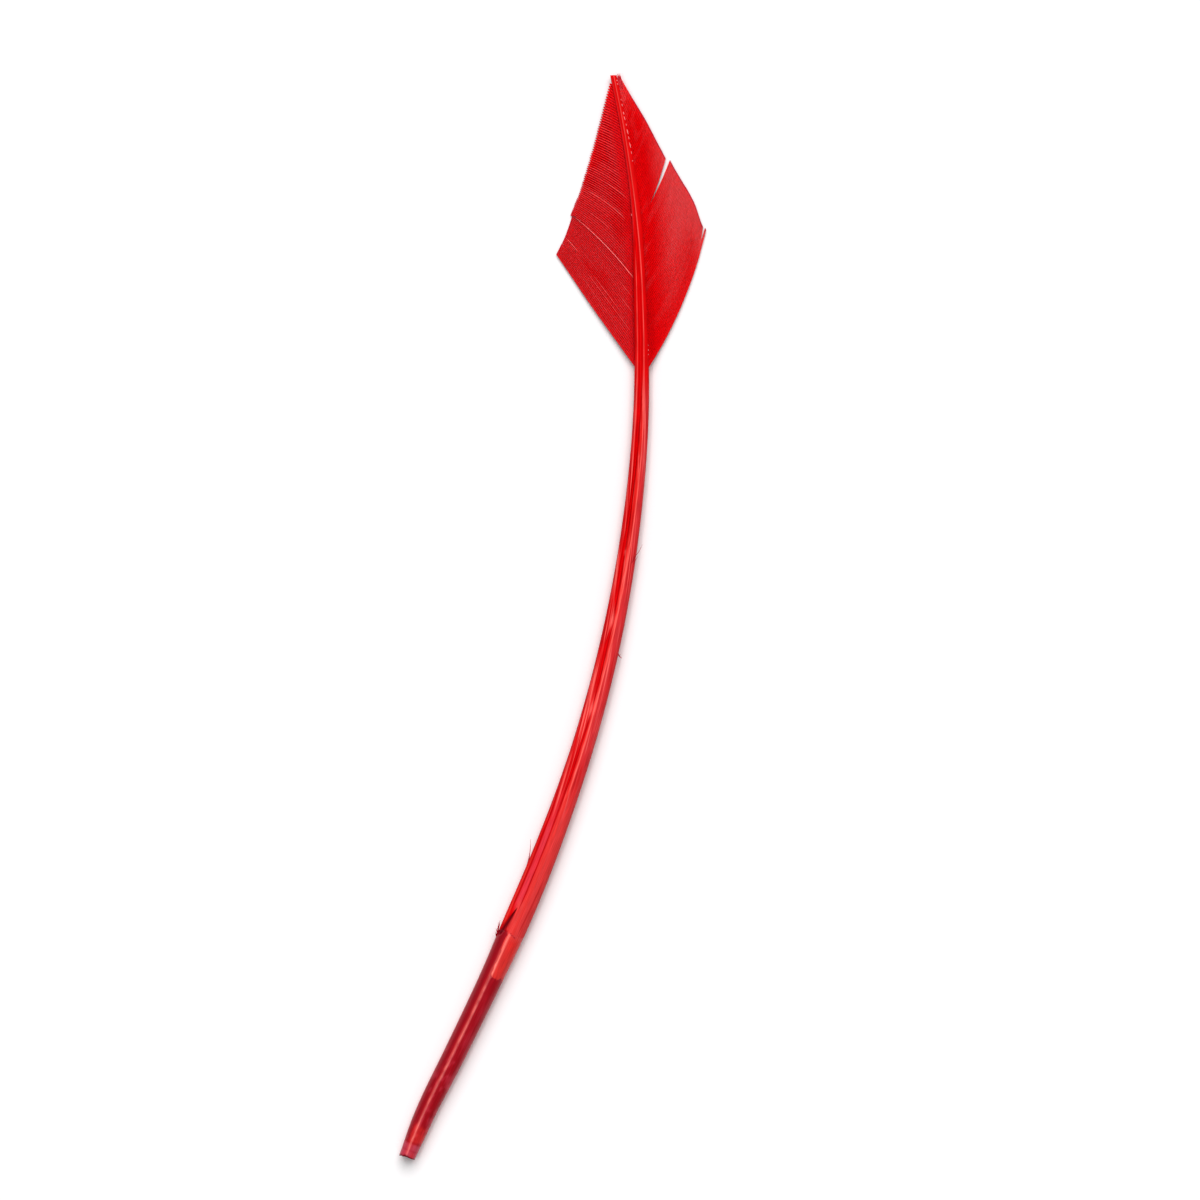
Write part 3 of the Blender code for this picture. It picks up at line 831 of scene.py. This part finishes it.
def make_tip_frays(material):
    """Short barbs torn off at the tip, between the shaft's end and the right vane."""
    draw = np.random.default_rng(FRAY_SEED)
    high = underside(LENGTH) + 0.6 * smooth(DEPTH, LENGTH)
    frays = []
    for k in range(FRAYS):
        out = FRAY_OUT + FRAY_STEP * k
        root, reach = draw.uniform(*zip(FRAY_ROOTS, FRAY_TOPS))
        top = LENGTH + reach * (0.4 + 0.6 * (k % 3 == 1))
        route = [(LENGTH + root, out - 0.1, high), (LENGTH + root / 2, out + 0.1, high + 0.15),
                 (top, out + draw.uniform(0, 0.25), high + 0.3)]
        frays.append(hair(route, FRAY_THICK))
    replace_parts(join_tubes("tip_frays", frays, material), NODE)


def make_flecks(material):
    """Small torn flecks of pith, most of them along the foot of the right vane."""
    draw = np.random.default_rng(FLECK_SEED)
    lat = np.linspace(FLECK_POLE, math.pi - FLECK_POLE, FLECK_RINGS)[:, None]
    lon = np.linspace(0, 2 * math.pi, FLECK_SIDES, endpoint=False)[None, :]
    flecks = []
    for s, out, long in FLECKS:
        wide, tall = draw.uniform(*zip(FLECK_WIDTHS, FLECK_HEIGHTS))
        rough = 1 + FLECK_ROUGH * draw.uniform(-1, 1, (FLECK_RINGS, FLECK_SIDES))
        along = long * np.cos(lat)
        across = wide * np.sin(lat) * np.cos(lon) * rough
        high = tall * np.sin(lat) * np.sin(lon) * rough
        x = out / (smooth(WIDTH, s) / 2)
        flecks.append(place(s - along, out + FLECK_LEAN * along + across, upper_side(s, x) + high))
    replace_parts(join_tubes("pith_flecks", flecks, material), NODE)


# Materials
# A mix node's colour sockets
MIX_A = 6
MIX_B = 7
MIX_RESULT = 2
# The grain along the fibres: how far its noise goes, and how much darker or lighter it makes the dye
FIBRE_NOISE = (0.25, 0.75)
FIBRE_TONES = (0.84, 1.14)
# How far light passes through the dyed barbs: red furthest, in shares of a length in metres
GLOW_RADIUS = (1.0, 0.1, 0.1)
GLOW_DEPTH = 0.0006
PLAIN_ROUGHNESS = 0.6
PLAIN_SPECULAR = 0.2
# What the shaft's and the vanes' materials share: the grain's scale and its depth in metres
SHAFT_GRAIN = {"across": 6.0, "along": 0.2, "depth": 0.00001, "glow": 0.0}
VANE_GRAIN = {"across": 3.0, "depth": 0.00003, "specular": 0.06, "glow": 0.6}
# The two dyes that each kind of torn barb or pith wanders between
HAIR_DYES = ((0.3, 0.0, 0.015, 1), (0.5, 0.03, 0.05, 1))
TORN_DYES = ((0.38, 0.0, 0.02, 1), (0.85, 0.10, 0.12, 1))
PITH_DYES = ((0.75, 0.12, 0.12, 1), (0.85, 0.36, 0.36, 1))


class Nodes:
    """A short way to write a material's nodes."""

    def __init__(self, name):
        self.material = bpy.data.materials.new(name)
        self.material.use_nodes = True
        self.tree = self.material.node_tree
        self.shader = self.tree.nodes["Principled BSDF"]

    def put(self, kind, **settings):
        node = self.tree.nodes.new(kind)
        for name, value in settings.items():
            setattr(node, name, value)
        return node

    def link(self, source, target):
        if isinstance(source, (int, float, tuple)):
            target.default_value = source
        else:
            self.tree.links.new(source, target)

    def mark(self, name, socket="Fac"):
        return self.put("ShaderNodeAttribute", attribute_name=name).outputs[socket]

    def math(self, operation, a, b=0.0):
        node = self.put("ShaderNodeMath", operation=operation)
        self.link(a, node.inputs[0])
        self.link(b, node.inputs[1])
        return node.outputs[0]

    def ramp(self, source, low, high, out_low, out_high):
        node = self.put("ShaderNodeMapRange", interpolation_type="SMOOTHSTEP")
        for socket, value in zip(node.inputs, (source, low, high, out_low, out_high)):
            self.link(value, socket)
        return node.outputs[0]

    def mix(self, share, a, b, blend="MIX"):
        node = self.put("ShaderNodeMix", data_type="RGBA", blend_type=blend)
        self.link(share, node.inputs["Factor"])
        self.link(a, node.inputs[MIX_A])
        self.link(b, node.inputs[MIX_B])
        return node.outputs[MIX_RESULT]

    def noise(self, where, scale, detail=3.0):
        node = self.put("ShaderNodeTexNoise")
        self.link(where, node.inputs["Vector"])
        node.inputs["Scale"].default_value = scale
        node.inputs["Detail"].default_value = detail
        return node.outputs["Fac"]

    def stretched(self, across, along):
        """Noise over a piece's own across and along marks."""
        node = self.put("ShaderNodeCombineXYZ")
        self.link(self.math("MULTIPLY", self.mark("across"), across), node.inputs[0])
        self.link(self.math("MULTIPLY", self.mark("along"), along), node.inputs[1])
        return self.noise(node.outputs[0], 1.0)

    def bump(self, height, distance):
        node = self.put("ShaderNodeBump")
        self.link(height, node.inputs["Height"])
        node.inputs["Distance"].default_value = distance
        self.link(node.outputs["Normal"], self.shader.inputs["Normal"])

    def finish(self, color, roughness, specular, glow=0.0):
        self.link(color, self.shader.inputs["Base Color"])
        self.link(roughness, self.shader.inputs["Roughness"])
        self.shader.inputs["Specular IOR Level"].default_value = specular
        self.shader.inputs["Subsurface Weight"].default_value = glow
        self.shader.inputs["Subsurface Radius"].default_value = GLOW_RADIUS
        self.shader.inputs["Subsurface Scale"].default_value = GLOW_DEPTH
        return self.material


def dyed_material(name, across, along, roughness, specular, depth, glow):
    """Dyed keratin: the dye's colour with a fine grain along the fibres."""
    n = Nodes(name)
    fibres = n.stretched(across, along)
    tone = n.ramp(fibres, *FIBRE_NOISE, *FIBRE_TONES)
    color = n.mix(1.0, n.mark("dye", "Color"), tone, "MULTIPLY")
    n.bump(fibres, depth)
    return n.finish(color, roughness, specular, glow)


def plain_material(name, low, high, scale):
    """One colour that wanders a little towards another."""
    n = Nodes(name)
    where = n.put("ShaderNodeTexCoord").outputs["Object"]
    color = n.mix(n.noise(where, scale), low, high)
    return n.finish(color, PLAIN_ROUGHNESS, PLAIN_SPECULAR)


# Floor, light and camera
# The photo: its width, its scale, the pixel of the quill's end, and how far the feather is turned
PHOTO_WIDE = 1200
MM_PER_PIXEL = 0.27
QUILL_PIXEL = (407.0, 1157.0)
PHOTO_TURN = math.radians(10.8)
LENS = 150.0
SENSOR = 36.0
# The scale holds at this height above the floor
MIDDLE_HEIGHT = 3.0
FLOOR_WIDE = 6.0
FLOOR_TONES = ((0.825, 0.818, 0.821, 1), (0.84, 0.833, 0.836, 1))
WORLD_COLOR = (1, 0.99, 0.995, 1)
WORLD_STRENGTH = 0.32
# The key light stands beyond the tip and a little to its left
KEY_SLOPE = 0.75
KEY_TURN = math.radians(7)
KEY_ANGLE = math.radians(56)
KEY_STRENGTH = 1.98
# The narrow light left of the quill gives it its glint, in metres
STRIP_PLACE = (-0.36, -0.22, 1.15)
STRIP_SIZE = (0.08, 0.36)
STRIP_POWER = 1.1


def photo_place(u, v):
    """The frame's x and y, in metres, of a pixel of the photograph."""
    du = (u - QUILL_PIXEL[0]) * MM_PER_PIXEL
    dv = (QUILL_PIXEL[1] - v) * MM_PER_PIXEL
    x = du * math.cos(PHOTO_TURN) - dv * math.sin(PHOTO_TURN) - ORIGIN[0]
    y = du * math.sin(PHOTO_TURN) + dv * math.cos(PHOTO_TURN) - ORIGIN[1]
    return x * MM, y * MM


def make_floor():
    mesh = bpy.data.meshes.new("floor")
    w = FLOOR_WIDE / 2
    mesh.from_pydata([(-w, -w, 0), (w, -w, 0), (w, w, 0), (-w, w, 0)], [], [(0, 1, 2, 3)])
    mesh.materials.append(plain_material("white board", *FLOOR_TONES, scale=3.0))
    add_object("floor", mesh)


def make_softbox(name, place_m, size, power):
    """An even rectangle of light that hangs level."""
    lamp = bpy.data.lights.new(name, "AREA")
    lamp.shape = "RECTANGLE"
    lamp.size, lamp.size_y = size
    lamp.energy = power
    add_object(name, lamp).location = place_m


def make_key():
    """A broad even light from beyond the feather's tip."""
    lamp = bpy.data.lights.new("key", "SUN")
    lamp.angle = KEY_ANGLE
    lamp.energy = KEY_STRENGTH
    add_object("key", lamp).rotation_euler = (-math.atan(KEY_SLOPE), 0, KEY_TURN)


def make_lights():
    scene = bpy.context.scene
    scene.world = scene.world or bpy.data.worlds.new("studio")
    scene.world.use_nodes = True
    nodes = scene.world.node_tree.nodes
    sky = nodes.get("Background") or nodes.new("ShaderNodeBackground")
    sky.inputs["Color"].default_value = WORLD_COLOR
    sky.inputs["Strength"].default_value = WORLD_STRENGTH
    make_key()
    make_softbox("strip", STRIP_PLACE, STRIP_SIZE, STRIP_POWER)


def make_camera():
    scene = bpy.context.scene
    camera = bpy.data.cameras.new("camera")
    camera.lens = LENS
    camera.sensor_width = SENSOR
    view = add_object("camera", camera)
    away = PHOTO_WIDE * MM_PER_PIXEL * LENS / SENSOR + MIDDLE_HEIGHT
    view.location = (*photo_place(PHOTO_WIDE / 2, PHOTO_WIDE / 2), away * MM)
    view.rotation_euler = (0, 0, PHOTO_TURN)
    scene.camera = view
    scene.view_settings.view_transform = "Standard"
    scene.view_settings.look = "High Contrast"


def main():
    make_camera()
    make_shaft(dyed_material("dyed quill", roughness=0.3, specular=0.45, **SHAFT_GRAIN),
               dyed_material("dyed shaft", roughness=0.5, specular=0.12, **SHAFT_GRAIN))
    make_left_vane(dyed_material("dyed left vane", along=1.0, roughness=0.55, **VANE_GRAIN))
    make_right_vane(dyed_material("dyed right vane", along=0.6, roughness=0.5, **VANE_GRAIN))
    make_hairs(plain_material("dyed hairs", *HAIR_DYES, scale=900.0))
    make_tip_frays(plain_material("torn barbs", *TORN_DYES, scale=1800.0))
    make_flecks(plain_material("torn pith", *PITH_DYES, scale=1500.0))
    make_floor()
    make_lights()


main()
